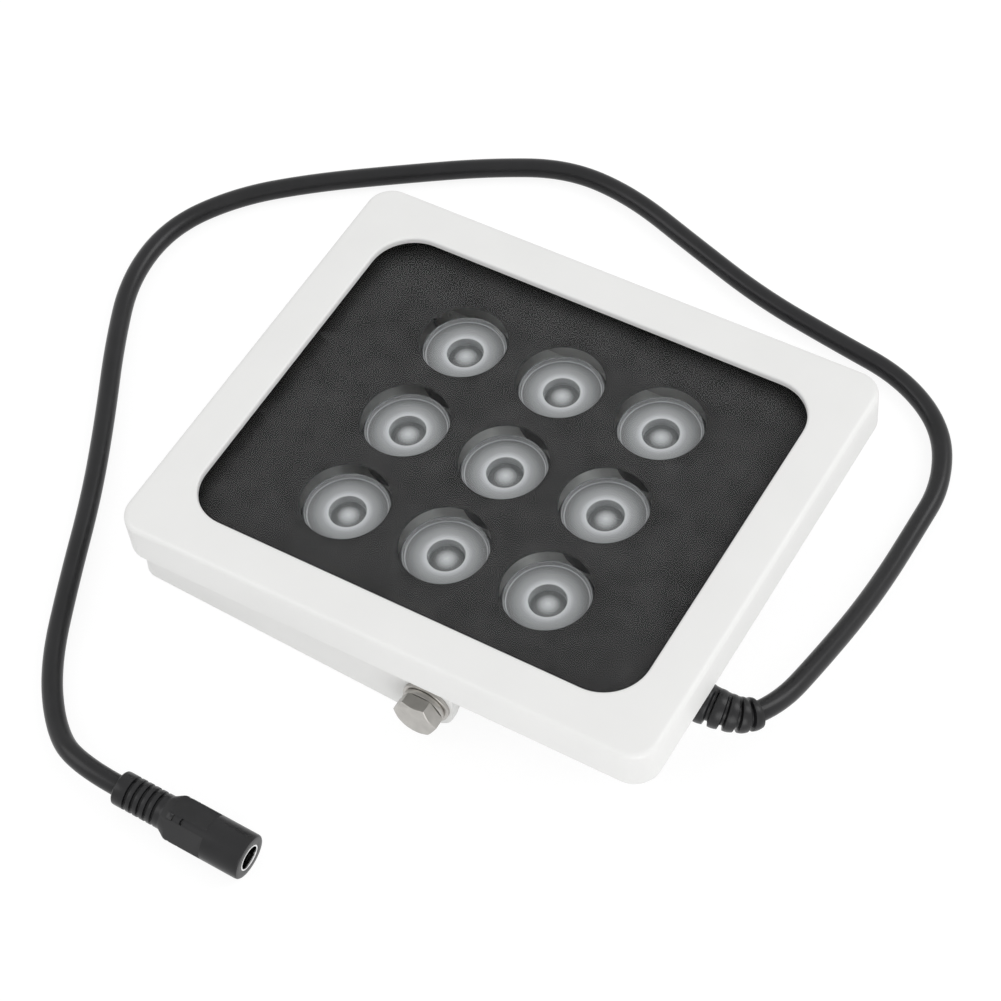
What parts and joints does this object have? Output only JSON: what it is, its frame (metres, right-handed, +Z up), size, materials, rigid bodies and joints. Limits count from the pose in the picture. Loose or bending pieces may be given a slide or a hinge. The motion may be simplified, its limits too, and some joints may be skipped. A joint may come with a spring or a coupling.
{
  "type": "infrared illuminator",
  "caption": "Infrared flood illuminator: a rectangular window over lensed emitters in a die-cast head that tilts in a U-bracket, with a cord and an in-line power socket.",
  "frame": {"origin": "on the floor plane under the middle of the bounding box without the cord, midway between the bracket's arms", "axes": "+Z up from the floor that the bracket lies on, towards the window; -X towards the bracket's crossbar; Y along the pivot bolts"},
  "size_m": [0.2121, 0.2192, 0.0415],
  "materials": {
    "bezel_paint": "semi-gloss white paint",
    "housing_paint": "semi-gloss white paint on a die casting",
    "bracket_paint": "semi-gloss white paint on sheet steel",
    "front_glass": "clear, polished",
    "print": "black print seen through glass",
    "seal": "matte",
    "lens": "clear, polished",
    "holder": "satin dark grey",
    "emitter": "clear dome on a pale base",
    "board_metal": "satin",
    "pad": "matte grey",
    "board_green": "green board",
    "dark_part": "matte black",
    "can_metal": "satin",
    "lead_red": "matte red insulation",
    "screw_steel": "plated",
    "bolt_steel": "stainless",
    "relief_black": "satin black",
    "cord_black": "satin black",
    "plug_black": "satin black",
    "plug_metal": "nickel plate"
  },
  "bodies": {
    "bracket": {"bracket": "bracket_paint"},
    "head": {"bezel_screws": "screw_steel", "black_print": "print", "board_screws": "screw_steel", "cord": "cord_black", "driver_board": "board_green", "driver_capacitors": "can_metal", "driver_chip": "dark_part", "driver_coil": "dark_part", "emitter_1": "emitter", "emitter_2": "emitter", "emitter_3": "emitter", "emitter_4": "emitter", "emitter_5": "emitter", "emitter_6": "emitter", "emitter_7": "emitter", "emitter_8": "emitter", "emitter_9": "emitter", "flat_washers": "bolt_steel", "front_bezel": "bezel_paint", "front_glass": "front_glass", "glass_seal": "seal", "led_board": "board_metal", "led_leads": "lead_red", "lens_1": "lens", "lens_2": "lens", "lens_3": "lens", "lens_4": "lens", "lens_5": "lens", "lens_6": "lens", "lens_7": "lens", "lens_8": "lens", "lens_9": "lens", "lens_holder_1": "holder", "lens_holder_2": "holder", "lens_holder_3": "holder", "lens_holder_4": "holder", "lens_holder_5": "holder", "lens_holder_6": "holder", "lens_holder_7": "holder", "lens_holder_8": "holder", "lens_holder_9": "holder", "pivot_bolts": "bolt_steel", "plug_body": "plug_black", "plug_liner": "plug_black", "plug_pin": "plug_metal", "plug_sleeve": "plug_metal", "rear_housing": "housing_paint", "spring_washers": "bolt_steel", "strain_relief": "relief_black", "supply_leads": "lead_red", "thermal_pad": "pad"}
  },
  "joints": [
    {"name": "head_tilt", "type": "hinge", "parent": "bracket", "child": "head", "pos_m": [0.00462, 0, 0.009], "axis": [0, 1, 0], "range_deg": [0, 150]}
  ]
}
